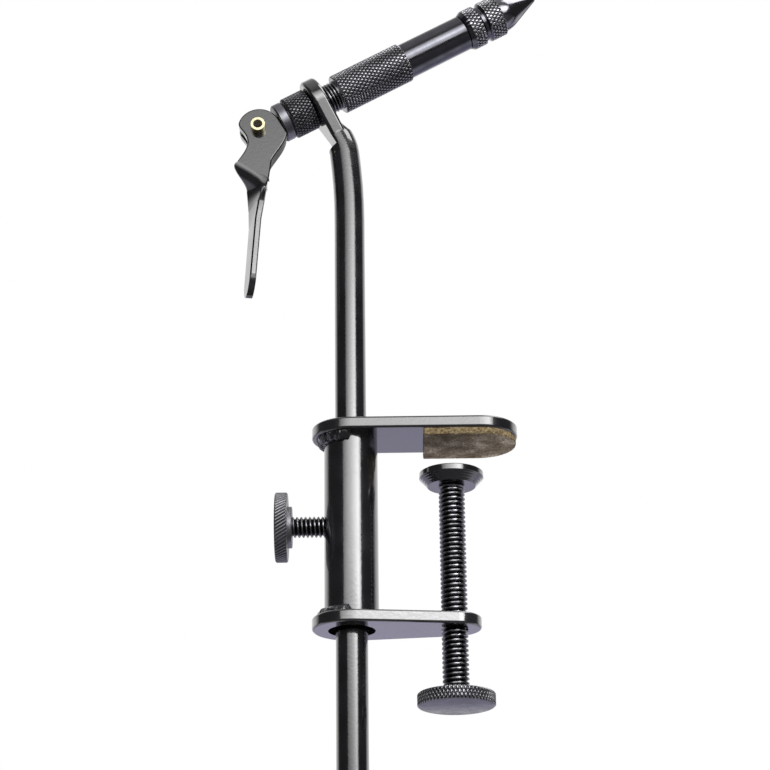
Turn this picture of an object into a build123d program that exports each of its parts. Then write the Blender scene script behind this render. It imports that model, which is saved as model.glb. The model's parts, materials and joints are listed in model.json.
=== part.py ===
# Fly tying vise: a table clamp, a sliding bent stem and an inclined cam-lever collet head.
# Millimetres, +Z up. The origin is on the underside of the clamp's pad, on the clamp screw's axis.
# +X runs from the stem towards the hook jaws, and +Y is the far side.
import os
from math import cos, radians, sin, tan

from build123d import *

# Fits
RUN_GAP = 0.05  # radial, between a turning piece and its hole
SLIDE_GAP = 0.08  # radial, between the stem and its sleeve
FACE_GAP = 0.05  # between faces that move past each other
SIDE_GAP = 0.1  # on each side of the draw bar's tang

# Clamp
REACH = 30.25  # stem axis to clamp screw axis
PLATE_T = 3.7
PLATE_R = 11.8  # rounded ends of the upper plate, and of the lower plate round the stem
PLATE_EDGE = 0.7
PLATE_HOLE = 14.0
UPPER_SPAN = 38.8  # between the centres of the upper plate's ends
LOWER_TIP_R = 8.0
THROAT = 53.5  # pad underside to lower plate
SLEEVE_D = 16.2
WELD_LEG = 3.0
WELD_SWEEP = 170.0
WELD_START = 105.0
PAD_T = 2.2
PAD_INSET = 0.4  # back from the plate's edge
PAD_START = 22.0  # from the stem axis

# Stem
STEM_D = 9.525
STEM_END = 118.0  # below the pad
BOW_R = 200.0  # a slight bow leads into the bend
BOW_TURN = 6.8
BEND_R = 16.0
HEAD_TILT = 28.7  # the head's axis above the horizontal
EYE_X = -10.0  # eye centre from the stem axis
EYE_Z = 118.0
EYE_T = 4.8
EYE_R = 8.8
EYE_EDGE = 1.1
EYE_FOOT_R = 5.0  # the eye narrows to this round foot
EYE_FOOT_AT = 12.0  # below the eye centre
NECK_END = 8.0  # where the neck runs into the eye, below its centre
NECK_W = 10.4
NECK_STEP = 0.15  # the neck's flats lie under the eye's faces
SHOULDER_AT = 17.0  # the step behind the eye, below its centre

# Lock screw
LOCK_D = 6.35
LOCK_Z = -25.1
LOCK_HEAD_D = 21.0
LOCK_HEAD_T = 3.7
LOCK_HUB_D = 12.5
LOCK_HUB_T = 1.3
LOCK_HUB_X = 17.7  # hub's inner face, from the stem axis

# Clamp screw
SCREW_D = 7.9
WHEEL_D = 22.9
WHEEL_T = 3.9
WHEEL_Z = -76.3  # top face
WHEEL_FLOOR = 0.9
KNOB_EDGE = 0.5
DISC_D = 19.4
DISC_Z = -8.5  # top face, where it presses on a table
DISC_RIM = 1.8
DISC_T = 4.4
DISC_FOOT_D = 14.5
SPIGOT_D = 5.0
SPIGOT_L = 2.4

# Head, measured along its axis from the lever pin
RING_AT = 7.25
RING_L = 3.2
RING_D = 12.6
RING_WALL = 1.4
NUT_L = 8.75
NUT_PLAY = 0.3  # how far the lock nut can back off
NUT_D = 13.6
NUT_EDGE = 0.7
EYE_AT = RING_AT + RING_L + NUT_L + EYE_T / 2
THREAD_D = 9.8
GRIP_AT = 28.95
GRIP_L = 24.8
GRIP_D = 13.0
TUBE_D = 11.7
TUBE_TIP_D = 11.6
COLLAR_AT = 76.15
COLLAR_L = 13.0
COLLAR_D = 13.4
COLLAR_LEAD = 1.4  # length of the rear chamfer
COLLAR_GROOVE_W = 2.4
COLLAR_GROOVE_DEPTH = 0.85
SPIGOT_FRONT_D = 10.0
SPIGOT_FRONT_L = 4.5
BORE_D = 8.2
BORE_AT = 52.65  # where the narrow rear bore opens out
TURNED_EDGE = 0.4

# Collet
BAR_D = 5.0
BAR_GAP = 0.15
SHANK_AT = 64.65
SHANK_D = 7.6
TAPER_AT = 81.15
TAPER_D = 8.2
NOSE_D = 11.8
NOSE_ROUND = 9.0
NOSE_TIP_D = 1.8
NOSE_HALF_ANGLE = 24.0
NOSE_RIM_L = 2.4
SLIT_W = 0.6
SLIT_AT = 68.65
TANG_T = 3.0
TANG_R = 4.0

# Return spring
WIRE_D = 0.8
COIL_R = 3.3
COIL_TURNS = 6

# Cam lever, measured from its pin
CAM_LIFT = 0.25  # rise per radian of swing
CAM_SWING = 110.0
CAM_RUN_ON = 25.0  # the curve goes on past the full swing
CAM_STEPS = 10
CHEEK_T = 2.8
PIN_D = 4.5
PIN_BORE = 2.9
PIN_FRONT = 2.8
PIN_BACK = 0.8
FLAT_BELOW = 6.2  # the cam's flat ends this far below the head's axis
FORK_FLOOR = 11.3
LEVER_W = TANG_T + 2 * SIDE_GAP + 2 * CHEEK_T
LEVER_EDGE = 0.45
HEAD_HOLLOW = (-4.9, -1.1)
HEAD_NECK = (-3.4, -5.0)
HEAD_FLARE_X = -6.5
HEAD_FLARE_RUN = (-0.53, -0.85)
HEAD_HEEL_X = -4.4  # the far cheek has no flare
HEAD_HEEL_RUN = (0, -1)
HEAD_FOOT = (3.6, -18.0)
HEAD_FOOT_TILT = 32.0  # the head ends on a slope that rises to the left
HEAD_WAIST = (5.0, -10.4)
HEAD_BELLY = (7.6, -6.3)
FAR_TRIM = 1.4  # the far cheek is this much slimmer on its right
FORK_LEFT = -6.3
FORK_RIGHT = 4.5
# Sections down the twist: height, tilt, then the corners near left, near right, far right and far left.
TWIST_UPPER = (-17.3, 26.8, (-8.7, -3.9), (3.7, -4.5), (2.9, 1.6), (-4.5, 4.4))
TWIST_MIDDLE = (-19.2, 24.0, (-6.3, -2.0), (3.1, -4.6), (3.3, -0.6), (-3.6, 4.6))
TWIST_LOWER = (-21.0, 14.0, (-4.2, 1.6), (1.8, -4.9), (3.1, -3.3), (-2.2, 5.0))
TWIST_END = (-26.0, 0.0, (-3.5, 4.5), (0.35, -5.05), (2.4, -4.2), (-1.45, 5.35))
BLADE_T = 2.1
BLADE_TWIST = 74.0
BLADE_W = 9.9
BLADE_END_W = 8.4
BLADE_TIP_L = 11.0  # its end is half an ellipse, cut short by the blade's sides
BLADE_TOP = (-0.95, 0.15, -32.0)  # middle of the first straight section
BLADE_END = 57.4
BLADE_LEAN = 3.7  # degrees off upright

STEM_X = -REACH
LOWER_Z = -THROAT
EYE_CENTRE = Vector(STEM_X + EYE_X, 0, EYE_Z)
AXIS = Vector(cos(radians(HEAD_TILT)), 0, sin(radians(HEAD_TILT)))
ACROSS = Vector(-AXIS.Z, 0, AXIS.X)
PIN_CENTRE = EYE_CENTRE - AXIS * EYE_AT
# Head pieces are turned about local Z, with the lever pin at the origin and local X across the head.
HEAD = Plane(PIN_CENTRE, x_dir=ACROSS, z_dir=AXIS)
LEVER = Plane(PIN_CENTRE, x_dir=(1, 0, 0), z_dir=(0, -1, 0))


def save(shape, node):
    export_step(shape, f"parts/{node}.step")


def turned(outline):
    """A solid of revolution about Z from (radius, height) points."""
    return revolve(make_face(Polyline(*[(r, 0, z) for r, z in outline], close=True)), Axis.Z)


def stub(diameter, start, end):
    """A cylinder about Z between two heights."""
    return Pos(0, 0, start) * extrude(Circle(diameter / 2), end - start)


def knob(diameter, thickness, edge):
    """A round head with bevelled rims, standing on Z = 0."""
    body = stub(diameter, 0, thickness)
    return chamfer(body.edges().filter_by(GeomType.CIRCLE), edge)


# Clamp
def plate(outline, underside):
    body = Pos(STEM_X, 0, underside) * extrude(outline, PLATE_T)
    body = fillet(body.edges(), PLATE_EDGE)
    return body - Pos(STEM_X, 0, underside) * stub(PLATE_HOLE, 0, PLATE_T)


def upper_plate():
    outline = Pos(UPPER_SPAN / 2, 0) * SlotCenterToCenter(UPPER_SPAN, 2 * PLATE_R)
    return plate(outline, PAD_T)


def lower_plate():
    ends = Sketch() + [Circle(PLATE_R), Pos(REACH, 0) * Circle(LOWER_TIP_R)]
    body = plate(make_hull(ends.edges()), LOWER_Z - PLATE_T)
    return body - stub(SCREW_D + 2 * RUN_GAP, LOWER_Z - PLATE_T, LOWER_Z)


def sleeve():
    tube = stub(SLEEVE_D, LOWER_Z, PAD_T) - stub(STEM_D + 2 * SLIDE_GAP, LOWER_Z, PAD_T)
    side_hole = Plane((0, 0, LOCK_Z), z_dir=(-1, 0, 0)) * stub(LOCK_D + 2 * RUN_GAP, 0, SLEEVE_D)
    return Pos(STEM_X, 0, 0) * (tube - side_hole)


def weld_bead(height, up):
    """A hand-laid fillet in the corner of sleeve and plate, on the side away from the throat."""
    r = SLEEVE_D / 2
    top = WELD_LEG if up else -WELD_LEG
    corner = [(r, 0, 0), (r + WELD_LEG, 0, 0), (r, 0, top)]
    bulge = ThreePointArc(corner[1], (r + 0.6 * WELD_LEG, 0, 0.6 * top), corner[2])
    section = make_face([Line(corner[2], corner[0]), Line(corner[0], corner[1]), bulge])
    bead = revolve(section, Axis.Z, WELD_SWEEP)
    return Pos(STEM_X, 0, height) * Rot(0, 0, WELD_START) * bead


def jaw_pad():
    end_r = PLATE_R - PAD_INSET
    outline = Pos(UPPER_SPAN / 2, 0) * SlotCenterToCenter(UPPER_SPAN, 2 * end_r)
    outline -= Pos(PAD_START - REACH, 0) * Rectangle(2 * REACH, 2 * PLATE_R)
    return Pos(STEM_X, 0, 0) * extrude(outline, PAD_T)


# Stem
def arc_end(start, radius, turned_from, turned_to):
    """Where an arc of the stem's line ends. Angles are off upright, towards the lever."""
    begin, end = radians(turned_from), radians(turned_to)
    return start + Vector(radius * (cos(end) - cos(begin)), 0, radius * (sin(end) - sin(begin)))


def stem():
    bow = arc_end(Vector(), BOW_R, 0, BOW_TURN)
    bend = arc_end(bow, BEND_R, BOW_TURN, HEAD_TILT)
    neck_l = (bend.X - EYE_X) / sin(radians(HEAD_TILT))
    neck_start = EYE_CENTRE - ACROSS * neck_l
    bow_start = neck_start - bend
    foot = Vector(STEM_X, 0, -STEM_END)
    straight = Line(foot, bow_start)
    gentle = TangentArc(bow_start, bow_start + bow, tangent=(0, 0, 1))
    sharp = TangentArc(bow_start + bow, neck_start, tangent=gentle % 1)
    path = Wire([straight.edge(), gentle.edge(), sharp.edge()])
    rod = sweep(Plane(foot) * Circle(STEM_D / 2), path=path)
    rod = chamfer(rod.edges().sort_by(Axis.Z)[0], KNOB_EDGE)

    # The rod's end is flattened, with a step behind, into an eye that takes the barrel's thread.
    def level(below):
        return Plane(EYE_CENTRE - ACROSS * below, x_dir=AXIS, z_dir=ACROSS)

    flat = RectangleRounded(EYE_T - 2 * NECK_STEP, NECK_W, EYE_EDGE)
    neck = loft([level(neck_l) * Circle(STEM_D / 2), level(NECK_END) * flat])
    behind = Pos(-(EYE_T / 2 + STEM_D / 2), 0) * Rectangle(STEM_D, 2 * STEM_D)
    step = level(SHOULDER_AT) * extrude(behind, SHOULDER_AT)
    eye_plane = Plane(EYE_CENTRE - AXIS * EYE_T / 2, x_dir=ACROSS, z_dir=AXIS)
    rounds = Sketch() + [Circle(EYE_R), Pos(-EYE_FOOT_AT, 0) * Circle(EYE_FOOT_R)]
    eye = fillet(extrude(make_hull(rounds.edges()), EYE_T).edges(), EYE_EDGE)
    hole = stub(THREAD_D + 2 * RUN_GAP, 0, EYE_T)
    return rod + neck - step + eye_plane * eye - eye_plane * hole


# Lock screw
def lock_plane(from_stem):
    return Plane((STEM_X - from_stem, 0, LOCK_Z), z_dir=(-1, 0, 0))


def lock_screw():
    tip = STEM_D / 2 + FACE_GAP
    length = LOCK_HUB_X + LOCK_HUB_T + LOCK_HEAD_T / 2 - tip
    return lock_plane(tip) * stub(LOCK_D, 0, length)


def lock_knob():
    hub = stub(LOCK_HUB_D, 0, LOCK_HUB_T)
    head = Pos(0, 0, LOCK_HUB_T) * knob(LOCK_HEAD_D, LOCK_HEAD_T, KNOB_EDGE)
    seat = stub(LOCK_D, 0, LOCK_HUB_T + LOCK_HEAD_T / 2)
    return lock_plane(LOCK_HUB_X) * (hub + head - seat)


# Clamp screw
def pressure_disc():
    rim, foot = DISC_D / 2, DISC_FOOT_D / 2
    under = DISC_Z - DISC_T
    body = turned([(0, under), (foot, under), (rim, DISC_Z - DISC_RIM), (rim, DISC_Z), (0, DISC_Z)])
    return body - stub(SPIGOT_D + 2 * RUN_GAP, under, under + SPIGOT_L + FACE_GAP)


def clamp_screw():
    shoulder = DISC_Z - DISC_T - FACE_GAP
    rod = stub(SCREW_D, WHEEL_Z - WHEEL_T + WHEEL_FLOOR, shoulder)
    return rod + stub(SPIGOT_D, shoulder, shoulder + SPIGOT_L)


def clamp_thumbwheel():
    wheel = Pos(0, 0, WHEEL_Z - WHEEL_T) * knob(WHEEL_D, WHEEL_T, KNOB_EDGE)
    return wheel - stub(SCREW_D, WHEEL_Z - WHEEL_T + WHEEL_FLOOR, WHEEL_Z)


# Head
def thrust_ring():
    ring = chamfer(stub(RING_D, RING_AT, RING_AT + RING_L).edges(), TURNED_EDGE)
    ring -= stub(BAR_D + 2 * BAR_GAP, RING_AT, RING_AT + RING_WALL)
    return HEAD * (ring - stub(THREAD_D, RING_AT + RING_WALL, RING_AT + RING_L))


def rear_lock_nut():
    start = RING_AT + RING_L + NUT_PLAY
    length = NUT_L - NUT_PLAY - FACE_GAP
    nut = Pos(0, 0, start) * knob(NUT_D, length, NUT_EDGE)
    return HEAD * (nut - stub(THREAD_D + 2 * RUN_GAP, start, start + length))


def barrel():
    tail, grip_end = RING_AT + RING_WALL, GRIP_AT + GRIP_L
    front = COLLAR_AT + SPIGOT_FRONT_L
    thread, grip = THREAD_D / 2, GRIP_D / 2
    tube, tip, spigot = TUBE_D / 2, TUBE_TIP_D / 2, SPIGOT_FRONT_D / 2
    narrow, wide = BAR_D / 2 + BAR_GAP, BORE_D / 2
    edge = TURNED_EDGE
    outside = [(thread, tail), (thread, GRIP_AT), (grip - edge, GRIP_AT), (grip, GRIP_AT + edge),
               (grip, grip_end - edge), (grip - edge, grip_end), (tube, grip_end),
               (tip, COLLAR_AT), (spigot, COLLAR_AT), (spigot, front)]
    inside = [(wide, front), (wide, BORE_AT), (narrow, BORE_AT), (narrow, tail)]
    return HEAD * turned(outside + inside)


def front_collar():
    start, end = COLLAR_AT + FACE_GAP, COLLAR_AT + COLLAR_L
    middle, half = (start + end) / 2, COLLAR_GROOVE_W / 2
    rim, groove = COLLAR_D / 2, COLLAR_D / 2 - COLLAR_GROOVE_DEPTH
    edge = TURNED_EDGE
    seat = SPIGOT_FRONT_D / 2 + RUN_GAP
    shelf = COLLAR_AT + SPIGOT_FRONT_L + FACE_GAP
    outside = [(seat, start), (rim - 2 * edge, start), (rim, start + COLLAR_LEAD), (rim, middle - half),
               (groove, middle), (rim, middle + half), (rim, end - edge / 2), (rim - edge / 2, end)]
    inside = [(NOSE_D / 2 + BAR_GAP, end), (TAPER_D / 2 + BAR_GAP, shelf), (seat, shelf)]
    return HEAD * turned(outside + inside)


def collet():
    mouth = COLLAR_AT + COLLAR_L
    nose, tip = NOSE_D / 2, NOSE_TIP_D / 2
    cone_start = mouth + NOSE_RIM_L
    cone_end = cone_start + (nose - tip) / tan(radians(NOSE_HALF_ANGLE))
    bar, shank, taper = BAR_D / 2, SHANK_D / 2, TAPER_D / 2
    flats_end = RING_AT + FACE_GAP
    body = turned([(0, flats_end), (bar, flats_end), (bar, SHANK_AT), (shank, SHANK_AT), (shank, TAPER_AT),
                   (taper, TAPER_AT), (nose, mouth), (nose, cone_start), (tip, cone_end), (0, cone_end)])
    rings = body.edges().filter_by(GeomType.CIRCLE)
    shoulder = rings.sort_by_distance((0, 0, cone_start))[0]
    body = fillet(shoulder, NOSE_ROUND)
    body -= Pos(0, 0, (SLIT_AT + cone_end) / 2) * Box(NOSE_D + 1, SLIT_W, cone_end - SLIT_AT)
    neck = stub(BAR_D, 0, flats_end) & Pos(0, 0, flats_end / 2) * Box(BAR_D, TANG_T, flats_end)
    tang = neck + Rot(90, 0, 0) * (Pos(0, 0, -TANG_T / 2) * stub(2 * TANG_R, 0, TANG_T))
    return HEAD * (body + tang - Rot(90, 0, 0) * stub(PIN_D, -TANG_T, TANG_T))


def return_spring():
    """An open coil round the draw bar, between the barrel's step and the collet's shank."""
    start, end = BORE_AT + WIRE_D / 2, SHANK_AT - WIRE_D / 2 - FACE_GAP
    line = Helix(pitch=(end - start) / COIL_TURNS, height=end - start, radius=COIL_R)
    wire = sweep(Plane(line @ 0, z_dir=line % 0) * Circle(WIRE_D / 2), path=line)
    return HEAD * (Pos(0, 0, start) * wire)


# Cam lever
def cam_point(swing):
    """Where the cam touches the ring after this swing: its reach falls evenly as the lever opens."""
    facing = radians(HEAD_TILT + swing)
    reach = RING_AT - FACE_GAP - CAM_LIFT * radians(swing)
    return (reach * cos(facing) + CAM_LIFT * sin(facing), reach * sin(facing) - CAM_LIFT * cos(facing))


def foot_point(x):
    """A point on the slope where the lever's head ends."""
    return (x, HEAD_FOOT[1] + (HEAD_FOOT[0] - x) * tan(radians(HEAD_FOOT_TILT)))


def head_outline(left_x, left_run, trim):
    """The lever's head from the side: the cam, the hollow behind it and the foot."""
    tilt = radians(HEAD_TILT)
    reach, flat = RING_AT - FACE_GAP, FLAT_BELOW - trim
    corner = (reach * cos(tilt) + flat * sin(tilt), reach * sin(tilt) - flat * cos(tilt))
    last_swing = CAM_SWING + CAM_RUN_ON
    facing = radians(HEAD_TILT + last_swing)
    cam = Spline(*[cam_point(last_swing * i / (CAM_STEPS - 1)) for i in range(CAM_STEPS)])
    heel, foot = foot_point(left_x), foot_point(HEAD_FOOT[0] - trim)
    left = Spline(cam @ 1, HEAD_HOLLOW, HEAD_NECK, heel, tangents=[(-sin(facing), cos(facing)), left_run])
    waist, belly = [(x - trim, z) for x, z in (HEAD_WAIST, HEAD_BELLY)]
    right = Spline(foot, waist, belly, corner)
    return make_face([Line(corner, cam_point(0)), cam, left, Line(heel, foot), right])


def near_cheek():
    """The near cheek has the flare, and its outer edges are rounded down to the foot."""
    body = extrude(head_outline(HEAD_FLARE_X, HEAD_FLARE_RUN, 0), CHEEK_T)
    face = body.faces().sort_by(Axis.Z)[-1]
    return fillet(face.edges().sort_by(Axis.Y)[1:], LEVER_EDGE)


def lever_section(height, tilt, *corners):
    """A four-cornered section across the lever: near left, near right, far right, far left."""
    outline = make_face(Polyline(*corners, close=True))
    return Pos(PIN_CENTRE + Vector(0, 0, height)) * Rot(0, tilt, 0) * chamfer(outline.vertices(), LEVER_EDGE)


def blade_section(down):
    """A section of the straight blade, this far below its top."""
    x, y, top = BLADE_TOP
    breadth = BLADE_W + (BLADE_END_W - BLADE_W) * down / (BLADE_END + top)
    middle = Pos(x - down * tan(radians(BLADE_LEAN)), y)
    corners = [(-breadth / 2, -BLADE_T / 2), (breadth / 2, -BLADE_T / 2)]
    corners += [(breadth / 2, BLADE_T / 2), (-breadth / 2, BLADE_T / 2)]
    placed = [(middle * Rot(0, 0, -BLADE_TWIST) * Pos(*c)).position for c in corners]
    return lever_section(top - down, 0, *placed)


def lever_blade():
    """The head's foot is drawn out thin and twisted into a thumb blade that faces the rear."""
    near, far = -LEVER_W / 2, LEVER_W / 2
    fork = lever_section(-FORK_FLOOR, 0, (FORK_LEFT, near), (FORK_RIGHT, near),
                         (FORK_RIGHT - FAR_TRIM, far), (HEAD_HEEL_X, far))
    slope = 1 / cos(radians(HEAD_FOOT_TILT))
    right = HEAD_FOOT[0]
    corners = [(HEAD_FLARE_X, near), (right, near), (right - FAR_TRIM, far), (HEAD_HEEL_X, far)]
    foot = lever_section(foot_point(0)[1], HEAD_FOOT_TILT, *[(x * slope, y) for x, y in corners])
    web = loft([fork, foot], ruled=True)
    upper, middle, lower = [lever_section(*s) for s in (TWIST_UPPER, TWIST_MIDDLE, TWIST_LOWER)]
    length = BLADE_END + BLADE_TOP[2]
    twist = loft([foot, upper, middle, lower])
    blade = loft([lower, lever_section(*TWIST_END), blade_section(0), blade_section(length)], ruled=True)
    return web + twist + (blade - blade_tip_waste(length))


def blade_tip_waste(length):
    """What is cut away to round the blade's end."""
    block = Pos(0, 0, BLADE_TIP_L / 2) * Box(2 * BLADE_W, BLADE_W, BLADE_TIP_L)
    round_end = Plane.XZ * extrude(Ellipse(BLADE_W / 2, BLADE_TIP_L), BLADE_W, both=True)
    end = Vector(BLADE_TOP[0] - length * tan(radians(BLADE_LEAN)), BLADE_TOP[1], -BLADE_END)
    return Pos(PIN_CENTRE + end) * Rot(0, 0, -BLADE_TWIST) * (block - Pos(0, 0, BLADE_TIP_L) * round_end)


def cam_lever():
    inner = LEVER_W / 2 - CHEEK_T
    near = LEVER * Pos(0, 0, inner) * near_cheek()
    far_outline = head_outline(HEAD_HEEL_X, HEAD_HEEL_RUN, FAR_TRIM)
    far = LEVER * Pos(0, 0, -LEVER_W / 2) * extrude(far_outline, CHEEK_T)
    pin_hole = LEVER * stub(PIN_D + 2 * RUN_GAP, -LEVER_W, LEVER_W)
    return near + far + lever_blade() - pin_hole


def lever_pin():
    half = LEVER_W / 2
    tube = stub(PIN_D, -half - PIN_BACK, half + PIN_FRONT)
    return LEVER * (tube - stub(PIN_BORE, -half - PIN_BACK, half + PIN_FRONT))


NODES = {
    "clamp_sleeve": sleeve,
    "upper_jaw_plate": upper_plate,
    "lower_jaw_plate": lower_plate,
    "upper_weld_bead": lambda: weld_bead(PAD_T, False),
    "lower_weld_bead": lambda: weld_bead(LOWER_Z, True),
    "jaw_pad": jaw_pad,
    "stem": stem,
    "lock_screw": lock_screw,
    "lock_knob": lock_knob,
    "clamp_screw": clamp_screw,
    "clamp_thumbwheel": clamp_thumbwheel,
    "pressure_disc": pressure_disc,
    "barrel": barrel,
    "front_collar": front_collar,
    "collet": collet,
    "rear_lock_nut": rear_lock_nut,
    "thrust_ring": thrust_ring,
    "return_spring": return_spring,
    "cam_lever": cam_lever,
    "lever_pin": lever_pin,
}

os.makedirs("parts", exist_ok=True)
for node, build in NODES.items():
    save(build(), node)
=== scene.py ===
import json
from math import cos, pi, radians, sin

import bmesh
import bpy
import numpy as np
from mathutils import Matrix, Vector, noise


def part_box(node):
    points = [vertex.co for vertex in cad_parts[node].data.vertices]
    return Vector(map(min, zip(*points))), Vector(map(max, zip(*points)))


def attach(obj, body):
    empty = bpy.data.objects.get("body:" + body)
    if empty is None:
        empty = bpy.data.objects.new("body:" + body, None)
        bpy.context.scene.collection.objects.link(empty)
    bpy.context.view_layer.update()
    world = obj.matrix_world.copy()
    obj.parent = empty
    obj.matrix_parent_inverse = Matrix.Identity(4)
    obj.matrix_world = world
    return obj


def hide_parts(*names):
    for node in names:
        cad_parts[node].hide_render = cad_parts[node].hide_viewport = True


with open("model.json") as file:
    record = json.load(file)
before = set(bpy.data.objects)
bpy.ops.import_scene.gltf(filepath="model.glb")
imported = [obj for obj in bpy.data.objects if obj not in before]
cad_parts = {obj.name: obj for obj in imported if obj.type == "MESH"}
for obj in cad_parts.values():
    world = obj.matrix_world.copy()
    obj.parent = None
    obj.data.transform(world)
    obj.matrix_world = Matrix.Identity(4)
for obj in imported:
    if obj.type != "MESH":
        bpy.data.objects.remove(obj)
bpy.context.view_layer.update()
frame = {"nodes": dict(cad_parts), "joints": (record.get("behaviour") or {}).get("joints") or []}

# Clamp: a steel tube with two plates welded across it, stove enamelled gloss black.
# The enamel is sprayed and baked, so it is smooth and wet-looking with a faint orange peel,
# and a few dust specks are baked in. On the lower plate the gloss looks wettest.
mm = 0.001


def tint(code):
    """An sRGB hex colour as linear RGBA."""
    parts = [int(code[i:i + 2], 16) / 255 for i in (0, 2, 4)]
    linear = [p / 12.92 if p <= 0.04045 else ((p + 0.055) / 1.055) ** 2.4 for p in parts]
    return (*linear, 1.0)


def add(tree, kind, sockets=None, stops=(), **settings):
    """Adds one node. A socket's value is a constant or the output that feeds it, and stops colour a ramp."""
    made = tree.nodes.new(kind)
    for name, value in settings.items():
        setattr(made, name, value)
    for socket, value in (sockets or {}).items():
        if isinstance(value, bpy.types.NodeSocket):
            tree.links.new(value, made.inputs[socket])
        else:
            made.inputs[socket].default_value = value
    for spot, (position, colour) in enumerate(stops):
        ramp = made.color_ramp.elements
        stop = ramp[spot] if spot < 2 else ramp.new(position)
        stop.position, stop.color = position, colour
    return made


def new_finish(name):
    """An empty material with its tree, and the place on the object in metres for its patterns."""
    material = bpy.data.materials.new(name)
    material.use_nodes = True
    tree = material.node_tree
    tree.nodes.clear()
    place = add(tree, "ShaderNodeTexCoord").outputs["Object"]
    return material, tree, place


def put_on(material, *nodes):
    """Gives CAD nodes that keep their shape a new finish."""
    for name in nodes:
        slots = frame["nodes"][name].data.materials
        slots.clear()
        slots.append(material)


def stove_enamel(name, black, peel_mm, dust, polish, build=1.8):
    """Baked black enamel: peel_mm spaces its orange peel, dust is the share of specks that show,
    polish is how much gloss lies over the film, and build is how wet that gloss looks."""
    patch_mm, speck_mm, peel_depth = 9, 2.4, 0.05 * mm
    material, tree, place = new_finish(name)
    peel = add(tree, "ShaderNodeTexNoise", {"Vector": place, "Scale": 1 / (peel_mm * mm), "Detail": 1.0})
    patches = add(tree, "ShaderNodeTexNoise", {"Vector": place, "Scale": 1 / (patch_mm * mm), "Detail": 3.0})
    film = add(tree, "ShaderNodeValToRGB", {"Fac": patches.outputs["Fac"]},
               [(0.3, tint(black)), (0.7, tint("1E1E22"))])
    # Dust of about 0.4 mm, sparse enough that only a few specks show.
    specks = add(tree, "ShaderNodeTexVoronoi", {
        "Vector": place, "Scale": 1 / (speck_mm * mm), "Randomness": 1.0})
    dot = add(tree, "ShaderNodeMapRange", {
        "Value": specks.outputs["Distance"], "From Min": 0.1, "From Max": 0.06})
    chosen = add(tree, "ShaderNodeMath", {0: specks.outputs["Color"], 1: 1 - dust}, operation="GREATER_THAN")
    speck = add(tree, "ShaderNodeMath", {0: dot.outputs[0], 1: chosen.outputs[0]}, operation="MULTIPLY")
    colour = add(tree, "ShaderNodeMix", {
        "Factor": speck.outputs[0], "A": film.outputs["Color"], "B": tint("8A8680")}, data_type="RGBA")
    sheen = add(tree, "ShaderNodeMapRange", {
        "Value": patches.outputs["Fac"], "From Min": 0.3, "From Max": 0.75, "To Min": 0.16, "To Max": 0.3})
    relief = add(tree, "ShaderNodeMath", {0: peel.outputs["Fac"], 1: speck.outputs[0]}, operation="ADD")
    bump = add(tree, "ShaderNodeBump", {"Height": relief.outputs[0], "Strength": 0.3, "Distance": peel_depth})
    shader = add(tree, "ShaderNodeBsdfPrincipled", {
        "Base Color": colour.outputs["Result"], "Roughness": sheen.outputs[0], "IOR": 1.52,
        "Normal": bump.outputs[0], "Coat Weight": polish, "Coat Roughness": 0.07, "Coat IOR": build,
        "Coat Normal": bump.outputs[0]})
    add(tree, "ShaderNodeOutputMaterial", {"Surface": shader.outputs[0]})
    return material


enamel = stove_enamel("gloss_black_stove_enamel", "101013", 1.2, 0.05, 1.0)
put_on(enamel, "clamp_sleeve", "upper_jaw_plate")
plate_enamel = stove_enamel("gloss_black_enamel_on_plate", "101013", 1.2, 0.05, 1.0, 2.15)
put_on(plate_enamel, "lower_jaw_plate")

# Weld beads: hand-laid runs in the corners between the tube and the plates, on the side
# away from the throat. Each is a row of overlapping puddles with a lumpy skin, enamelled over
# in a coat that is duller than the clamp's.
puddle, weld_root = 3.2 * mm, 0.2 * mm
weld_start, weld_end = radians(105), radians(275)
weld_runs, weld_steps = 200, 16
weld_taper, weld_thinnest = 0.05, 0.08


def shaped(name, points, faces, body, sharp=30):
    """Makes a mesh piece from points in metres and rides it on a body."""
    mesh = bpy.data.meshes.new(name)
    mesh.from_pydata([tuple(p) for p in points], [], [tuple(int(i) for i in f) for f in faces])
    shell = bmesh.new()
    shell.from_mesh(mesh)
    bmesh.ops.recalc_face_normals(shell, faces=shell.faces)
    shell.to_mesh(mesh)
    shell.free()
    mesh.shade_smooth()
    mesh.set_sharp_from_angle(angle=radians(sharp))
    piece = bpy.data.objects.new(name, mesh)
    bpy.context.scene.collection.objects.link(piece)
    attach(piece, body)
    return piece


def skin(rings, sides, looped=False):
    """Quads over rings of points. The last ring joins the first, or both end rings are capped."""
    faces = []
    for r in range(rings if looped else rings - 1):
        for s in range(sides):
            r2, s2 = (r + 1) % rings, (s + 1) % sides
            faces.append((r * sides + s, r * sides + s2, r2 * sides + s2, r2 * sides + s))
    if not looped:
        faces += [tuple(range(sides)), tuple(range((rings - 1) * sides, rings * sides))]
    return faces


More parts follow.
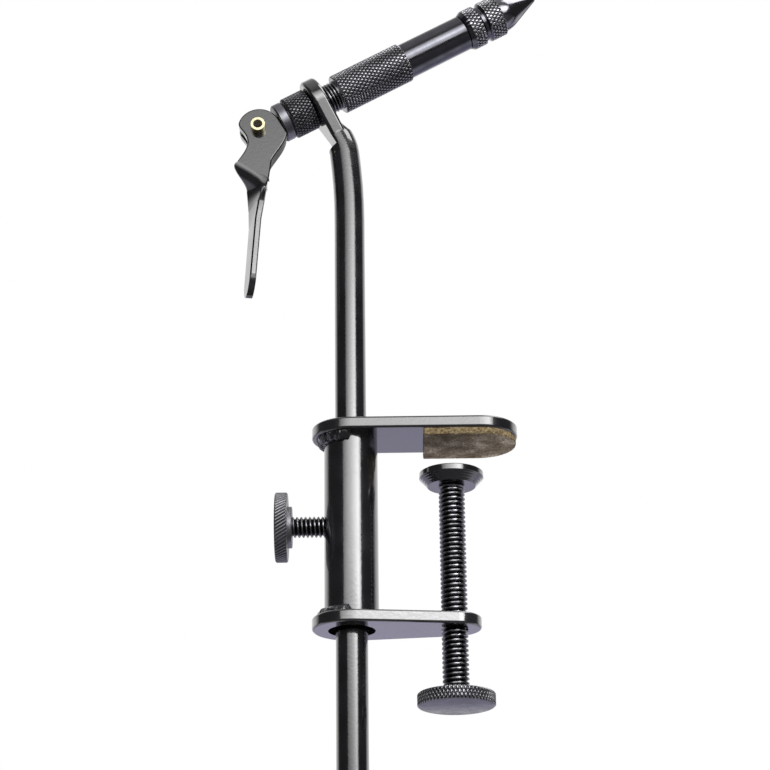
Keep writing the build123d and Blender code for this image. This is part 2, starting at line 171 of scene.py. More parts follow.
def weld_bead(node, up):
    """A quarter-round run that swells at each puddle and tapers at its ends, above or below its corner."""
    low, high = (Vector(v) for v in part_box(node))
    sleeve_low, sleeve_high = (Vector(v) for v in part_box("clamp_sleeve"))
    centre = (sleeve_low + sleeve_high) / 2
    sleeve_r = (sleeve_high.x - sleeve_low.x) / 2
    root_r = sleeve_r - weld_root
    corner = low.z if up else high.z
    rise = 1 if up else -1
    weld_leg = high.z - low.z
    points = []
    for run in range(weld_runs):
        share = run / (weld_runs - 1)
        angle = weld_start + (weld_end - weld_start) * share
        taper = max(weld_thinnest, min(1.0, share / weld_taper, (1 - share) / weld_taper))
        ripple = 0.5 + 0.5 * cos(2 * pi * angle * sleeve_r / puddle)
        for step in range(weld_steps):
            turn = (pi / 2) * step / (weld_steps - 1)
            # The corner's height is in the noise, so the two beads have different lumps.
            spot = Vector((cos(angle) * 40, sin(angle) * 40, turn * 3 + corner * 900))
            lump = 0.84 + 0.04 * ripple + 0.12 * noise.noise(spot * 0.2) + 0.06 * noise.noise(spot * 0.6)
            reach = weld_leg * lump * taper
            r = root_r + reach * cos(turn)
            z = corner + rise * (reach * sin(turn) - weld_root)
            points.append((centre.x + r * cos(angle), centre.y + r * sin(angle), z))
        root_z = corner - rise * weld_root
        points.append((centre.x + root_r * cos(angle), centre.y + root_r * sin(angle), root_z))
    faces = skin(weld_runs, weld_steps + 1)
    bead = shaped(node + "_puddles", points, faces, "clamp", 60)
    bead.data.materials.append(weld_enamel)
    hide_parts(node)


weld_enamel = stove_enamel("black_enamel_over_weld", "0D0D10", 0.8, 0.1, 0.5)
weld_bead("upper_weld_bead", False)
weld_bead("lower_weld_bead", True)

# Jaw pad: a piece of brown fibre board glued under the upper plate, so the clamp doesn't mark a table.
# Its cut edge is pale and furry, and its face is matt, rubbed and stained.
to_mm = 1 / mm
pad_low, pad_high = (Vector(v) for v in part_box("jaw_pad"))
pad_r = (pad_high.y - pad_low.y) / 2
pad_middle = (pad_high.y + pad_low.y) / 2
pad_t = (pad_high.z - pad_low.z) * to_mm
arc_steps, side_steps = 96, 60
fur_height, fur_inset, fur_scale = 0.16, 0.1, 1900


def pad_outline(inset):
    """Points round the pad at an inset from its edge, with the way outwards at each."""
    left, round_x, half = pad_low.x + inset, pad_high.x - pad_r, pad_r - inset
    line = []
    for i in range(arc_steps + 1):
        angle = -pi / 2 + pi * i / arc_steps
        line.append((round_x + half * cos(angle), pad_middle + half * sin(angle), cos(angle), sin(angle)))
    for i in range(1, side_steps):
        line.append((round_x + (left - round_x) * i / side_steps, pad_middle + half, 0, 1))
    for i in range(side_steps + 1):
        line.append((left, pad_middle + half - 2 * half * i / side_steps, -1, 0))
    for i in range(1, side_steps):
        line.append((left + (round_x - left) * i / side_steps, pad_middle - half, 0, -1))
    return line


# Each ring is an inset and a height in mm, from the worn lower edge up to the glued face.
flat_inset = 2.5
rings = [(flat_inset, 0.0), (0.5, 0.0), (0.15, 0.12), (0.0, 0.5), (0.0, 1.0), (0.0, 1.5),
         (0.05, pad_t - 0.3), (0.3, pad_t), (flat_inset, pad_t)]
pad_points = []
for inset, height in rings:
    around = pad_outline(inset * mm)
    for x, y, out_x, out_y in around:
        fur = fur_height * noise.noise(Vector((x, y, height * mm)) * fur_scale) - fur_inset
        grown = fur * mm if inset < flat_inset else 0
        pad_points.append((x + out_x * grown, y + out_y * grown, pad_low.z + height * mm))
pad = shaped("pad_of_fibre_board", pad_points, skin(len(rings), len(around)), "clamp", 50)
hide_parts("jaw_pad")

fibre, tree, place = new_finish("brown_fibre_board")
grain_mm, stain_mm, pit_depth = 0.7, 6, 0.2 * mm
grain = add(tree, "ShaderNodeTexNoise", {
    "Vector": place, "Scale": 1 / (grain_mm * mm), "Detail": 6.0, "Roughness": 0.7})
stain = add(tree, "ShaderNodeTexNoise", {"Vector": place, "Scale": 1 / (stain_mm * mm), "Detail": 4.0})
face_brown = add(tree, "ShaderNodeValToRGB", {"Fac": stain.outputs["Fac"]},
                 [(0.3, tint("76644A")), (0.5, tint("AE9C7E")), (0.7, tint("F2E4C6"))])
edge_tan = add(tree, "ShaderNodeValToRGB", {"Fac": grain.outputs["Fac"]},
               [(0.3, tint("6E5C42")), (0.7, tint("A8946C"))])
upright = add(tree, "ShaderNodeSeparateXYZ", {0: add(tree, "ShaderNodeNewGeometry").outputs["True Normal"]})
lie = add(tree, "ShaderNodeMath", {0: upright.outputs["Z"]}, operation="ABSOLUTE")
on_face = add(tree, "ShaderNodeMapRange", {"Value": lie.outputs[0], "From Min": 0.35, "From Max": 0.8})
browned = add(tree, "ShaderNodeMix", {
    "Factor": on_face.outputs[0], "A": edge_tan.outputs["Color"], "B": face_brown.outputs["Color"]},
    data_type="RGBA")
fleck = add(tree, "ShaderNodeMapRange", {
    "Value": grain.outputs["Fac"], "From Min": 0.36, "From Max": 0.64, "To Min": 0.36, "To Max": 1.55})
board = add(tree, "ShaderNodeMix", {"Factor": 1.0, "A": browned.outputs["Result"], "B": fleck.outputs[0]},
            data_type="RGBA", blend_type="MULTIPLY")
pits = add(tree, "ShaderNodeBump", {"Height": grain.outputs["Fac"], "Strength": 0.6, "Distance": pit_depth})
fibre_shader = add(tree, "ShaderNodeBsdfPrincipled", {
    "Base Color": board.outputs["Result"], "Roughness": 0.8, "IOR": 1.4, "Normal": pits.outputs[0]})
add(tree, "ShaderNodeOutputMaterial", {"Surface": fibre_shader.outputs[0]})
pad.data.materials.append(fibre)

# Stem: a drawn steel rod, bent at the top and forged flat into an eye. It slides in the clamp's tube.
# It is enamelled like the clamp, with a finer peel and more dust baked in.
stem_enamel = stove_enamel("black_enamel_on_drawn_rod", "0F0F12", 0.8, 0.12, 1.0)
put_on(stem_enamel, "stem")


# Lock screw: a 1/4 inch thumb screw, threaded through the sleeve to nip the stem.
# It is turned steel with a rolled thread and a slant-knurled head, blackened in hot salts and oiled.
def turned(name, place, outline, sides, body, relief=None, tube=False):
    """A lathe-turned piece about local Z: outline is (along, radius) in mm, and relief is cut into it."""
    line = np.array(outline, float)
    angle = np.arange(sides) * 2 * pi / sides
    along = np.repeat(line[:, :1], sides, 1)
    radius = np.repeat(line[:, 1:2], sides, 1)
    cut = relief(along, angle[None, :]) if relief else np.zeros_like(radius)
    radius = radius - cut
    points = np.stack([radius * np.cos(angle), radius * np.sin(angle), along], -1).reshape(-1, 3) * mm
    points = [place @ Vector(p) for p in points]
    piece = shaped(name, points, skin(len(line), sides, tube), body)
    depth = piece.data.attributes.new("cut_depth", "FLOAT", "POINT")
    depth.data.foreach_set("value", (cut / max(cut.max(), 1e-6)).reshape(-1).astype(np.float32))
    return piece


def stepped(start, end, step):
    """Even stations from start to end, about step apart."""
    count = max(2, int(round((end - start) / step)) + 1)
    return np.linspace(start, end, count)


def rolled_thread(pitch, depth, start, end):
    """A screw thread's cut: sharp-sided, with narrow flats on its crests and roots."""
    flank, overcut = 3.3, 1.25

    def cut(along, angle):
        wave = np.mod(along / pitch - angle / (2 * pi), 1.0)
        vee = np.clip(overcut - flank * np.abs(wave - 0.5), 0, 1)
        runout = np.clip(np.minimum(along - start, end - along) / (0.5 * pitch), 0, 1)
        return depth * vee * runout
    return cut


def slant_knurl(starts, lead, depth, start, end):
    """One set of slanting grooves."""
    narrowness = 1.5

    def cut(along, angle):
        wave = np.mod(starts * angle / (2 * pi) + along / lead, 1)
        groove = np.abs(2 * wave - 1) ** narrowness
        return depth * groove * ((along > start) & (along < end))
    return cut


def hot_blacked(name, crest, smeared, rough):
    """Blackened steel: a dark mirror. Worn crests are brighter, and the cuts darken with their depth, partly
    oxide left in them and partly painted shade.
    """
    oil_mm = 3
    low, high = rough
    material, tree, place = new_finish(name)
    oil = add(tree, "ShaderNodeTexNoise", {"Vector": place, "Scale": 1 / (oil_mm * mm), "Detail": 5.0})
    depth = add(tree, "ShaderNodeAttribute", attribute_name="cut_depth").outputs["Fac"]
    worn = add(tree, "ShaderNodeValToRGB", {"Fac": oil.outputs["Fac"]},
               [(0.3, tint(crest)), (0.7, tint(smeared))])
    # Painted shade with the oxide: the colour goes to near black with the cut's depth in thread roots and
    # knurl grooves.
    colour = add(tree, "ShaderNodeMix", {"Factor": depth, "A": worn.outputs["Color"], "B": tint("121214")},
                 data_type="RGBA")
    sheen = add(tree, "ShaderNodeMapRange", {
        "Value": oil.outputs["Fac"], "From Min": 0.3, "From Max": 0.7, "To Min": low, "To Max": high})
    shader = add(tree, "ShaderNodeBsdfPrincipled", {
        "Base Color": colour.outputs["Result"], "Roughness": sheen.outputs[0], "Metallic": 1.0})
    add(tree, "ShaderNodeOutputMaterial", {"Surface": shader.outputs[0]})
    return material


shank_low, shank_high = (Vector(v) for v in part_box("lock_screw"))
knob_low, knob_high = (Vector(v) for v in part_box("lock_knob"))
lock_middle = (knob_low + knob_high) / 2
# Local Z runs from the stem out to the knob.
lock_tip = Vector((shank_high.x, lock_middle.y, lock_middle.z))
lock_place = Matrix.Translation(lock_tip) @ Matrix.Rotation(-pi / 2, 4, "Y")
shank_l = (shank_high.x - shank_low.x) * to_mm
shank_r = (shank_high.z - shank_low.z) / 2 * to_mm
lock_pitch, lock_cut, runout_at = 1.27, 0.72, 0.3
hub_at = (shank_high.x - knob_high.x) * to_mm
knob_end = (shank_high.x - knob_low.x) * to_mm
knob_r = (knob_high.z - knob_low.z) / 2 * to_mm
hub_r, hub_t, hub_edge, rim_edge, pip_r = 6.25, 1.3, 0.2, 0.35, 0.4
slant_starts, slant_lead, slant_cut, slant_margin = 60, 1.7, 0.26, 0.3
head_at = hub_at + hub_t
slant_band = (head_at + slant_margin, knob_end - slant_margin)
shank_step, shank_sides, knob_step, knob_sides = 0.14, 48, 0.12, 440
shank_line = [(a, shank_r) for a in stepped(0, shank_l, shank_step)]
shank = turned("lock_screw_thread", lock_place, shank_line, shank_sides, "lock_screw",
               rolled_thread(lock_pitch, lock_cut, runout_at, hub_at + runout_at))
blacked = hot_blacked("hot_blacked_screw_steel", "A0A0A4", "7C7C80", (0.22, 0.34))
shank.data.materials.append(blacked)
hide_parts("lock_screw")
knob_line = [(hub_at, shank_r), (hub_at, hub_r - hub_edge), (hub_at + hub_edge, hub_r), (head_at, hub_r),
             (head_at, knob_r - rim_edge)]
knob_line += [(a, knob_r) for a in stepped(head_at + rim_edge, knob_end - rim_edge, knob_step)]
knob_line += [(knob_end, knob_r - rim_edge), (knob_end, pip_r)]
knob = turned("lock_screw_head", lock_place, knob_line, knob_sides, "lock_screw",
              slant_knurl(slant_starts, slant_lead, slant_cut, *slant_band))
matt = hot_blacked("hot_blacked_matt_knurl", "9C9CA0", "848488", (0.4, 0.5))
knob.data.materials.append(matt)
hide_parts("lock_knob")


# Clamp screw: a 5/16 inch rod with a rolled thread, and a knurled thumbwheel pressed on its foot.
# Both are blackened like the lock screw. The wheel's two ends are faced smooth and look darker.
def diamond_knurl(starts, pitch, depth, *bands):
    """Two crossing sets of grooves that leave rows of raised diamonds, in the given bands."""
    groove_share = 0.45

    def cut(along, angle):
        a = starts * angle / (2 * pi) + along / pitch
        b = starts * angle / (2 * pi) - along / pitch
        top = np.minimum(1 - np.abs(2 * np.mod(a, 1) - 1), 1 - np.abs(2 * np.mod(b, 1) - 1))
        inside = sum(((along > s) & (along < e)).astype(float) for s, e in bands)
        return depth * (1 - np.minimum(top / groove_share, 1)) * inside
    return cut


rod_low, rod_high = (Vector(v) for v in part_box("clamp_screw"))
wheel_low, wheel_high = (Vector(v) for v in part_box("clamp_thumbwheel"))
disc_low, disc_high = (Vector(v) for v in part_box("pressure_disc"))
rod_middle = (rod_low + rod_high) / 2
screw_place = Matrix.Translation((rod_middle.x, rod_middle.y, 0))
rod_r = (rod_high.x - rod_low.x) / 2 * to_mm
rod_pitch, rod_cut, rod_edge = 1.411, 0.78, 0.3
spigot_r, spigot_gap = 2.4, 0.15
rod_foot, rod_top = rod_low.z * to_mm, rod_high.z * to_mm
shoulder = disc_low.z * to_mm - spigot_gap
wheel_bottom, wheel_top = wheel_low.z * to_mm, wheel_high.z * to_mm
wheel_r = (wheel_high.x - wheel_low.x) / 2 * to_mm
rod_step, rod_sides, wheel_step, wheel_sides = 0.15, 56, 0.21, 480
rod_line = [(a, rod_r) for a in stepped(rod_foot, shoulder - rod_edge, rod_step)]
rod_line += [(shoulder, rod_r - rod_edge), (shoulder, spigot_r), (rod_top, spigot_r)]
rod = turned("clamp_screw_thread", screw_place, rod_line, rod_sides, "clamp_screw",
             rolled_thread(rod_pitch, rod_cut, wheel_top, shoulder - rod_edge))
rod.data.materials.append(blacked)
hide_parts("clamp_screw")
wheel_starts, wheel_pitch, wheel_cut, lap = 60, 2.0, 0.34, 0.05
wheel_pip_r, face_inset, face_round, wheel_edge = 0.5, 0.9, 0.15, 0.35
rim_foot, rim_top = wheel_bottom + 0.45, wheel_top - 0.3
wheel_line = [(wheel_bottom, wheel_pip_r), (wheel_bottom, wheel_r - face_inset),
              (wheel_bottom + face_round, wheel_r - wheel_edge)]
wheel_line += [(a, wheel_r) for a in stepped(rim_foot, rim_top, wheel_step)]
wheel_line += [(wheel_top, wheel_r - wheel_edge), (wheel_top, rod_r)]
wheel = turned("clamp_screw_wheel", screw_place, wheel_line, wheel_sides, "clamp_screw",
               diamond_knurl(wheel_starts, wheel_pitch, wheel_cut, (rim_foot - lap, rim_top + lap)))
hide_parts("clamp_thumbwheel")
faced = hot_blacked("hot_blacked_faced_steel", "6C6C70", "5C5C60", (0.22, 0.34))
for finish in (blacked, faced):
    wheel.data.materials.append(finish)
for side in wheel.data.polygons:
    side.material_index = int(abs(side.normal.z) > 0.9)

# Pressure disc: a turned steel foot that swivels on the screw's tip, with a flat rim and a coned underside.
# The lathe tool has left rings on the cone, and the enamel has not filled them.
disc_top, disc_under = disc_high.z * to_mm, disc_low.z * to_mm
disc_r = (disc_high.x - disc_low.x) / 2 * to_mm
disc_foot, disc_rim, disc_edge_r, disc_edge_h = 7.25, 1.8, 0.4, 0.3
disc_bore_r, disc_bore_l = spigot_r + spigot_gap, 2.45
disc_sides, cone_stations = 128, 40
cone_top = disc_top - disc_rim
ring_pitch, ring_cut, rings_from, rings_to = 0.62, 0.06, disc_under + 0.2, cone_top - 0.1
cone = [(cone_top - (cone_top - disc_under) * s, disc_r - (disc_r - disc_foot) * s)
        for s in np.linspace(0, 1, cone_stations)]
disc_line = [(disc_top, pip_r), (disc_top, disc_r - disc_edge_r), (disc_top - disc_edge_h, disc_r)] + cone
disc_line += [(disc_under, disc_bore_r), (disc_under + disc_bore_l, disc_bore_r),
              (disc_under + disc_bore_l, pip_r)]


def tool_rings(along, angle):
    """The tool's fine rings, on the cone alone and the same all round."""
    on_cone = (along < rings_to) & (along > rings_from)
    return ring_cut * on_cone * (0.5 + 0.5 * np.cos(2 * pi * (along - disc_top) / ring_pitch)) + 0 * angle


disc = turned("pressure_disc_turning", screw_place, disc_line, disc_sides, "pressure_disc",
              tool_rings)
disc.data.materials.append(enamel)
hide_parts("pressure_disc")

# Barrel: one turned steel piece with a threaded tail, a diamond-knurled grip and a smooth polished tube.
# Blackened over a fine polish, so the tube is a dark mirror and the knurl's diamonds catch the light.
head_joint = next(j for j in frame["joints"] if j["name"] == "head_turn")
swing_joint = next(j for j in frame["joints"] if j["name"] == "lever_swing")
head_axis = Vector(head_joint["axis"]).normalized()
pin_centre = Vector(swing_joint["pos_m"])
across = Vector((-head_axis.z, 0, head_axis.x))
# Local Z runs along the head from the lever pin to the jaws, and the sizes along it start at the pin.
turning = Matrix((across, head_axis.cross(across), head_axis)).transposed().to_4x4()
head_place = Matrix.Translation(pin_centre) @ turning
tail_at, tail_thread_at, grip_at, grip_end, collar_at = 8.65, 20.5, 28.95, 53.75, 76.15
thread_r, grip_r, tube_r, tube_tip_r = 4.9, 6.5, 5.85, 5.8
bore_r, bar_bore_r = 4.1, 2.65
seat_r, seat_l = 5.0, 4.5
tail_pitch, tail_cut = 1.05, 0.55
head_starts, head_pitch, grip_cut, knurl_cut = 30, 2.0, 0.36, 0.34
tail_edge, grip_edge, tip_edge_r, tip_edge_l = 0.3, 0.35, 0.25, 0.3
tail_step, tail_sides, grip_step, knurl_sides, tube_sides = 0.12, 64, 0.2, 360, 160
tail_line = [(tail_at, bar_bore_r)]
tail_line += [(a, thread_r) for a in stepped(tail_at, grip_at - lap, tail_step)]
tail_line += [(grip_at, thread_r - tail_edge), (grip_at, bar_bore_r)]
tail = turned("barrel_tail_thread", head_place, tail_line, tail_sides, "head",
              rolled_thread(tail_pitch, tail_cut, tail_thread_at, grip_at - tail_edge), tube=True)
tail.data.materials.append(blacked)
knurl_from, knurl_to = grip_at + grip_edge, grip_end - grip_edge
grip_line = [(grip_at, bar_bore_r), (grip_at, grip_r - grip_edge)]
grip_line += [(a, grip_r) for a in stepped(knurl_from, knurl_to, grip_step)]
grip_line += [(grip_end - lap, grip_r - grip_edge), (grip_end, tube_r + lap), (grip_end, bar_bore_r)]
grip = turned("barrel_grip_knurl", head_place, grip_line, knurl_sides, "head",
              diamond_knurl(head_starts, head_pitch, grip_cut, (knurl_from - lap, knurl_to + lap)), tube=True)
knurled = hot_blacked("hot_blacked_knurled_steel", "9A9A9E", "848488", (0.2, 0.28))
grip.data.materials.append(knurled)
tube_at = grip_end - 2 * lap
tube_line = [(tube_at, bore_r), (tube_at, tube_r), (collar_at - tip_edge_l, tube_tip_r),
             (collar_at, tube_tip_r - tip_edge_r), (collar_at, seat_r), (collar_at + seat_l, seat_r),
             (collar_at + seat_l, bore_r)]
tube = turned("barrel_tube", head_place, tube_line, tube_sides, "head", tube=True)
polished = hot_blacked("hot_blacked_polished_steel", "6C6C72", "5C5C62", (0.12, 0.22))
tube.data.materials.append(polished)
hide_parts("barrel")
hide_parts("barrel")
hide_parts("barrel")

# Thrust ring: a plain turned steel ring on the barrel's tail, which the cam bears on.
# It is blackened over a satin finish, so it is greyer and softer than the tube.
satin = hot_blacked("hot_blacked_satin_steel", "8C8C92", "74747A", (0.34, 0.44))
put_on(satin, "thrust_ring")

# Lock nut: a knurled steel nut on the tail thread, behind the eye.
# It jams the barrel at the angle that suits the tier, and its fine knurl is oily and dark.
nut_start, nut_end, nut_r, nut_bore, nut_edge = 10.75, 19.15, 6.8, 4.95, 0.6
nut_starts, nut_pitch, nut_margin, ring_step, nut_sides = 33, 1.95, 0.5, 0.19, 396
nut_band = (nut_start + nut_margin, nut_end - nut_margin)
nut_line = [(nut_start, nut_bore), (nut_start, nut_r - nut_edge)]
nut_line += [(a, nut_r) for a in stepped(nut_start + nut_edge, nut_end - nut_edge, ring_step)]
nut_line += [(nut_end, nut_r - nut_edge), (nut_end, nut_bore)]
nut = turned("lock_nut_knurl", head_place, nut_line, nut_sides, "rear_lock_nut",
             diamond_knurl(nut_starts, nut_pitch, knurl_cut, nut_band), tube=True)
fine_knurled = hot_blacked("hot_blacked_fine_knurl", "7A7A7E", "66666A", (0.28, 0.38))
nut.data.materials.append(fine_knurled)
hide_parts("rear_lock_nut")

# Front collar: a turned steel ring on the tube's end, with two knurled bands either side of a narrow groove.
# Turning it sets how far the jaws close. The bands are worn bright, and the rest is polished like the tube.
collar_start, collar_end, collar_r, groove_r = 76.2, 89.15, 6.7, 5.85
groove_middle, groove_half, groove_flat, collar_lead = (collar_start + collar_end) / 2, 1.2, 0.5, 1.4
collar_lip, collar_shoulder, mouth_r, throat_r, seat_gap = 0.2, 0.8, 6.05, 4.25, 0.05
collar_bore_r, throat_at = seat_r + seat_gap, collar_at + seat_l + seat_gap
back_band = (collar_start + collar_lead, groove_middle - groove_half)
front_band = (groove_middle + groove_half, collar_end - collar_lip)
collar_line = [(collar_start, collar_bore_r), (collar_start, collar_r - collar_shoulder)]
collar_line += [(a, collar_r) for a in stepped(*back_band, ring_step)]
collar_line += [(groove_middle - groove_flat, groove_r), (groove_middle + groove_flat, groove_r)]
collar_line += [(a, collar_r) for a in stepped(*front_band, ring_step)]
collar_line += [(collar_end, collar_r - collar_lip), (collar_end, mouth_r), (throat_at, throat_r),
                (throat_at, collar_bore_r)]
collar = turned("front_collar_knurl", head_place, collar_line, knurl_sides, "front_collar",
                diamond_knurl(head_starts, head_pitch, knurl_cut, back_band, front_band), tube=True)
band_knurled = hot_blacked("hot_blacked_band_knurl", "B4B4B8", "9C9CA0", (0.2, 0.28))
for finish in (band_knurled, polished):
    collar.data.materials.append(finish)
for side in collar.data.polygons:
    along = (side.center - pin_centre).dot(head_axis) * to_mm
    side.material_index = int(not any(start < along < end for start, end in (back_band, front_band)))
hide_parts("front_collar")

# Collet: the slit steel nose that grips a hook, on a draw bar through the barrel.
# The nose is polished and then blackened thinly, so it shines more than the tube.
nose_steel = hot_blacked("hot_blacked_bright_steel", "8E8E94", "7E7E84", (0.12, 0.2))
put_on(nose_steel, "collet")

# Return spring: a coil of plain drawn steel wire round the draw bar, inside the barrel.
# The wire is bare, grey and bright, with faint lines from drawing.
wire, tree, place = new_finish("drawn_spring_wire")
draw_mm = 0.3
draw_lines = add(tree, "ShaderNodeTexNoise", {"Vector": place, "Scale": 1 / (draw_mm * mm), "Detail": 3.0})
wire_grey = add(tree, "ShaderNodeValToRGB", {"Fac": draw_lines.outputs["Fac"]},
                [(0.3, tint("8C8C8E")), (0.7, tint("B4B4B6"))])
wire_shader = add(tree, "ShaderNodeBsdfPrincipled", {
    "Base Color": wire_grey.outputs["Color"], "Metallic": 1.0, "Roughness": 0.3})
add(tree, "ShaderNodeOutputMaterial", {"Surface": wire_shader.outputs[0]})
put_on(wire, "return_spring")

# Cam lever: a forged steel lever with a forked cam head and a twisted thumb blade, enamelled black.
# On the head, the sides that face right have the coat and most of the shine taken off the enamel. This is
# painted shade, chosen by which way they face.
lever_polish, plain_shine, shaded_side_shine = 0.7, 0.5, 0.08
shaded_band_foot, shaded_band_top = pin_centre.z - 19 * mm, pin_centre.z - 17 * mm
lever_enamel = stove_enamel("black_enamel_on_forging", "131316", 1.0, 0.06, lever_polish)
put_on(lever_enamel, "cam_lever")
tree = lever_enamel.node_tree
lever_shader = next(n for n in tree.nodes if n.type == "BSDF_PRINCIPLED")
# Painted shade: a mask of the sides facing right on the head, which takes off their coat and lowers their
# shine.
facing = add(tree, "ShaderNodeSeparateXYZ", {0: add(tree, "ShaderNodeNewGeometry").outputs["True Normal"]})
rightward = add(tree, "ShaderNodeMapRange", {"Value": facing.outputs["X"], "From Min": 0.25, "From Max": 0.4})
level = add(tree, "ShaderNodeSeparateXYZ", {0: add(tree, "ShaderNodeTexCoord").outputs["Object"]})
on_head = add(tree, "ShaderNodeMapRange", {
    "Value": level.outputs["Z"], "From Min": shaded_band_foot, "From Max": shaded_band_top})
painted_shade = add(tree, "ShaderNodeMath", {0: rightward.outputs[0], 1: on_head.outputs[0]}, operation="MULTIPLY")
coat = add(tree, "ShaderNodeMapRange", {"Value": painted_shade.outputs[0], "To Min": lever_polish, "To Max": 0.0})
shine = add(tree, "ShaderNodeMapRange", {
    "Value": painted_shade.outputs[0], "To Min": plain_shine, "To Max": shaded_side_shine})
tree.links.new(coat.outputs[0], lever_shader.inputs["Coat Weight"])
tree.links.new(shine.outputs[0], lever_shader.inputs["Specular IOR Level"])

# Lever pin: a hollow brass pin through the fork and the collet's tang, standing proud of the fork.
# It is turned bright, and its bore has gone dull and grey, told by its distance from the pin's axis.
dull_to, bright_from, tarnish_mm = 1.48 * mm, 1.56 * mm, 0.8
brass, tree, place = new_finish("bright_turned_brass")
tarnish = add(tree, "ShaderNodeTexNoise", {"Vector": place, "Scale": 1 / (tarnish_mm * mm), "Detail": 4.0})
brass_yellow = add(tree, "ShaderNodeValToRGB", {"Fac": tarnish.outputs["Fac"]},
                   [(0.3, tint("CFC288")), (0.7, tint("EFE8C4"))])
brass_sheen = add(tree, "ShaderNodeMapRange", {
    "Value": tarnish.outputs["Fac"], "From Min": 0.3, "From Max": 0.7, "To Min": 0.2, "To Max": 0.34})
from_pin = add(tree, "ShaderNodeVectorMath", {0: place, 1: pin_centre}, operation="SUBTRACT")
level_part = add(tree, "ShaderNodeVectorMath", {0: from_pin.outputs[0], 1: (1, 0, 1)}, operation="MULTIPLY")
off_axis = add(tree, "ShaderNodeVectorMath", {0: level_part.outputs[0]}, operation="LENGTH")
bright = add(tree, "ShaderNodeMapRange", {
    "Value": off_axis.outputs["Value"], "From Min": dull_to, "From Max": bright_from})
brass_tone = add(tree, "ShaderNodeMix", {
    "Factor": bright.outputs[0], "A": tint("A8A294"), "B": brass_yellow.outputs["Color"]}, data_type="RGBA")
brass_shader = add(tree, "ShaderNodeBsdfPrincipled", {
    "Base Color": brass_tone.outputs["Result"], "Metallic": bright.outputs[0],
    "Roughness": brass_sheen.outputs[0]})
add(tree, "ShaderNodeOutputMaterial", {"Surface": brass_shader.outputs[0]})
put_on(brass, "lever_pin")

# Studio floor: a plain pale sheet of paper, with a grey cloth laid on it in front of the vise.
# The cloth keeps the coned undersides dark. The camera sees the floor as white, like the sweep behind it.
floor_mesh = bpy.data.meshes.new("studio_floor")
reach, back_edge, floor_z = 2.5, 0.45, -0.40
cloth_to, paper_from = -0.05, 0.2
floor_mesh.from_pydata([(-reach, -reach, floor_z), (reach, -reach, floor_z), (reach, back_edge, floor_z),
                        (-reach, back_edge, floor_z)], [], [(0, 1, 2, 3)])
floor = bpy.data.objects.new("studio_floor", floor_mesh)
bpy.context.scene.collection.objects.link(floor)
paper, tree, place = new_finish("pale_studio_paper")
tooth_mm, white = 4, (1, 1, 1, 1)
tooth = add(tree, "ShaderNodeTexNoise", {"Vector": place, "Scale": 1 / (tooth_mm * mm), "Detail": 3.0})
paper_white = add(tree, "ShaderNodeValToRGB", {"Fac": tooth.outputs["Fac"]},
                  [(0.3, tint("E8E7F6")), (0.7, tint("EEEDFA"))])
floor_place = add(tree, "ShaderNodeSeparateXYZ", {0: place})
on_paper = add(tree, "ShaderNodeMapRange", {
    "Value": floor_place.outputs["Y"], "From Min": cloth_to, "From Max": paper_from})
covered = add(tree, "ShaderNodeMix", {
    "Factor": on_paper.outputs[0], "A": tint("58585A"), "B": paper_white.outputs["Color"]}, data_type="RGBA")
paper_shader = add(tree, "ShaderNodeBsdfPrincipled", {
    "Base Color": covered.outputs["Result"], "Roughness": 0.9})
paper_glow = add(tree, "ShaderNodeEmission", {"Color": white, "Strength": 1.0})
to_camera = add(tree, "ShaderNodeLightPath").outputs["Is Camera Ray"]
paper_seen = add(tree, "ShaderNodeMixShader", {
    0: to_camera, 1: paper_shader.outputs[0], 2: paper_glow.outputs[0]})
add(tree, "ShaderNodeOutputMaterial", {"Surface": paper_seen.outputs[0]})
floor_mesh.materials.append(paper)

# White sweep: the wall of paper behind the vise, with a pale ceiling over it and a dark room in front.
# Polished pieces show each of them where it stands, and the camera sees white all round.
world = bpy.data.worlds.new("white_sweep")
bpy.context.scene.world = world
world.use_nodes = True
tree = world.node_tree
tree.nodes.clear()
room_dark, ceiling_pale = 0.05, 0.5
way = add(tree, "ShaderNodeSeparateXYZ", {0: add(tree, "ShaderNodeTexCoord").outputs["Generated"]})
wall = add(tree, "ShaderNodeMapRange", {
    "Value": way.outputs["Y"], "From Min": 0.3, "From Max": 0.55, "To Min": room_dark, "To Max": 1.0})
ceiling = add(tree, "ShaderNodeMapRange", {
    "Value": way.outputs["Z"], "From Min": 0.5, "From Max": 0.85, "To Min": 0.0, "To Max": ceiling_pale})
sweep = add(tree, "ShaderNodeMath", {0: wall.outputs[0], 1: ceiling.outputs[0]}, operation="MAXIMUM")
rays = add(tree, "ShaderNodeLightPath")
mirrored = add(tree, "ShaderNodeMath", {0: rays.outputs["Is Glossy Ray"], 1: sweep.outputs[0]},
               operation="MULTIPLY")
straight = add(tree, "ShaderNodeMath", {
    0: rays.outputs["Is Camera Ray"], 1: rays.outputs["Is Transmission Ray"]}, operation="MAXIMUM")
seen = add(tree, "ShaderNodeMath", {0: mirrored.outputs[0], 1: straight.outputs[0]}, operation="MAXIMUM")
sweep_glow = add(tree, "ShaderNodeMath", {0: seen.outputs[0], 1: sweep.outputs[0]}, operation="MAXIMUM")
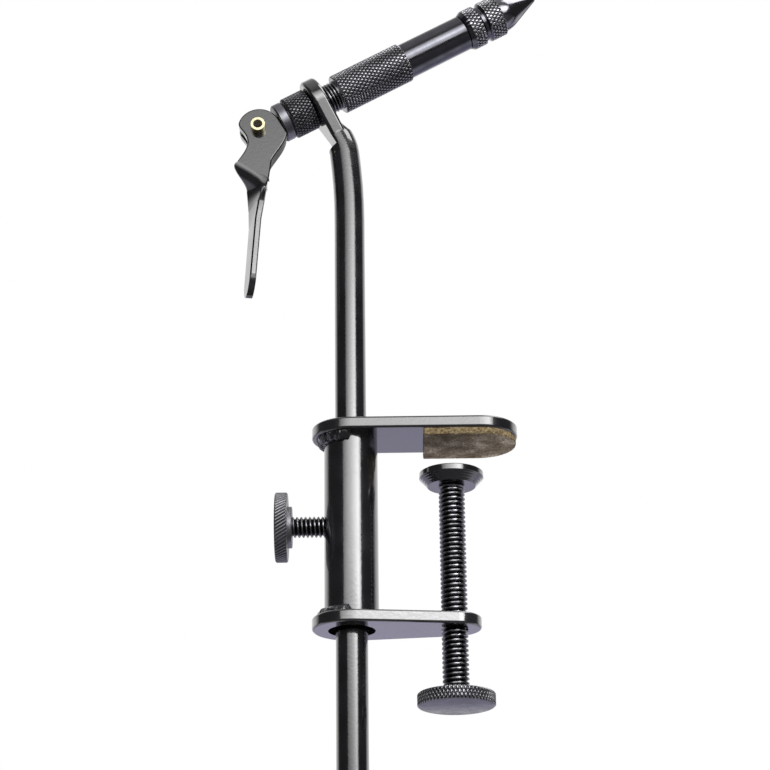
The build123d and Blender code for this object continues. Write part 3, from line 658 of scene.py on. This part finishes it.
# Below the floor's level the sweep lights the vise a little violet.
low = add(tree, "ShaderNodeMapRange", {"Value": way.outputs["Z"], "From Min": -0.05, "From Max": -0.2})
lit_low = add(tree, "ShaderNodeMath", {0: low.outputs[0], 1: straight.outputs[0]}, operation="SUBTRACT",
              use_clamp=True)
shade = add(tree, "ShaderNodeMix", {"Factor": lit_low.outputs[0], "A": white, "B": tint("BFBCD4")},
            data_type="RGBA")
background = add(tree, "ShaderNodeBackground", {
    "Color": shade.outputs["Result"], "Strength": sweep_glow.outputs[0]})
add(tree, "ShaderNodeOutputWorld", {"Surface": background.outputs[0]})

# Lamps: a wide soft box in front, brightest right of its middle and at half its height,
# and a small plain box overhead at the right. Both face the vise.
lamp_aim, lamp_distance = Vector((-0.02, 0, 0.03)), 1.15


def box_lamp(name, azimuth, elevation, width, height, radiance):
    """A flat box of light at a bearing and an elevation in degrees, facing the vise."""
    bearing, rise = radians(azimuth), radians(elevation)
    way_out = Vector((sin(bearing) * cos(rise), -cos(bearing) * cos(rise), sin(rise)))
    lamp = bpy.data.lights.new(name, "AREA")
    lamp.shape = "RECTANGLE"
    lamp.size, lamp.size_y = width, height
    lamp.energy = radiance * pi * width * height
    box = bpy.data.objects.new(name, lamp)
    box.location = lamp_aim + way_out * lamp_distance
    box.rotation_euler = way_out.to_track_quat("Z", "Y").to_euler()
    bpy.context.scene.collection.objects.link(box)
    return lamp


def greys(*steps):
    """Ramp stops from pairs of a position and a level."""
    return [(position, (level, level, level, 1)) for position, level in steps]


soft_box = box_lamp("soft_box", 4.5, 16, 1.69, 0.9, 9)
soft_box.use_nodes = True
tree = soft_box.node_tree
tree.nodes.clear()
on_box = add(tree, "ShaderNodeSeparateXYZ", {0: add(tree, "ShaderNodeNewGeometry").outputs["Parametric"]})
sideways = add(tree, "ShaderNodeValToRGB", {"Fac": on_box.outputs["X"]},
               greys((0.0, 0.12), (0.45, 0.5), (0.82, 1.0), (1.0, 0.4)))
upwards = add(tree, "ShaderNodeValToRGB", {"Fac": on_box.outputs["Y"]},
              greys((0.0, 0.27), (0.27, 0.38), (0.39, 0.62), (0.46, 0.97), (0.55, 0.93), (0.68, 0.7),
                    (1.0, 0.27)))
diffuser = add(tree, "ShaderNodeMix", {
    "Factor": 1.0, "A": sideways.outputs["Color"], "B": upwards.outputs["Color"]},
    data_type="RGBA", blend_type="MULTIPLY")
box_glow = add(tree, "ShaderNodeEmission", {"Color": diffuser.outputs["Result"], "Strength": 1.0})
add(tree, "ShaderNodeOutputLight", {"Surface": box_glow.outputs[0]})
box_lamp("overhead_box", 68, 60, 0.8, 0.6, 4)

# Camera: a long lens from below the clamp, looking up at the head, with the vise leaning a little left.
# Its place, pitch and roll were fitted to the stem, the plates' edges and the round rims.
focal_px, frame_px, film_mm = 2150, 770, 36
camera_at, pitch, roll = Vector((-0.01965, -0.614, -0.2215)), radians(21.5), radians(0.7)
camera_data = bpy.data.cameras.new("camera")
camera_data.sensor_width = film_mm
camera_data.lens = film_mm * focal_px / frame_px
camera_data.clip_start = 0.01
camera = bpy.data.objects.new("camera", camera_data)
right, up = Vector((1, 0, 0)), Vector((0, -sin(pitch), cos(pitch)))
leaning_right = right * cos(roll) - up * sin(roll)
leaning_up = right * sin(roll) + up * cos(roll)
back = Vector((0, -cos(pitch), -sin(pitch)))
camera_turn = Matrix((leaning_right, leaning_up, back)).transposed().to_4x4()
camera.matrix_world = Matrix.Translation(camera_at) @ camera_turn
bpy.context.scene.collection.objects.link(camera)
bpy.context.scene.camera = camera
bpy.context.scene.view_settings.view_transform = "Standard"
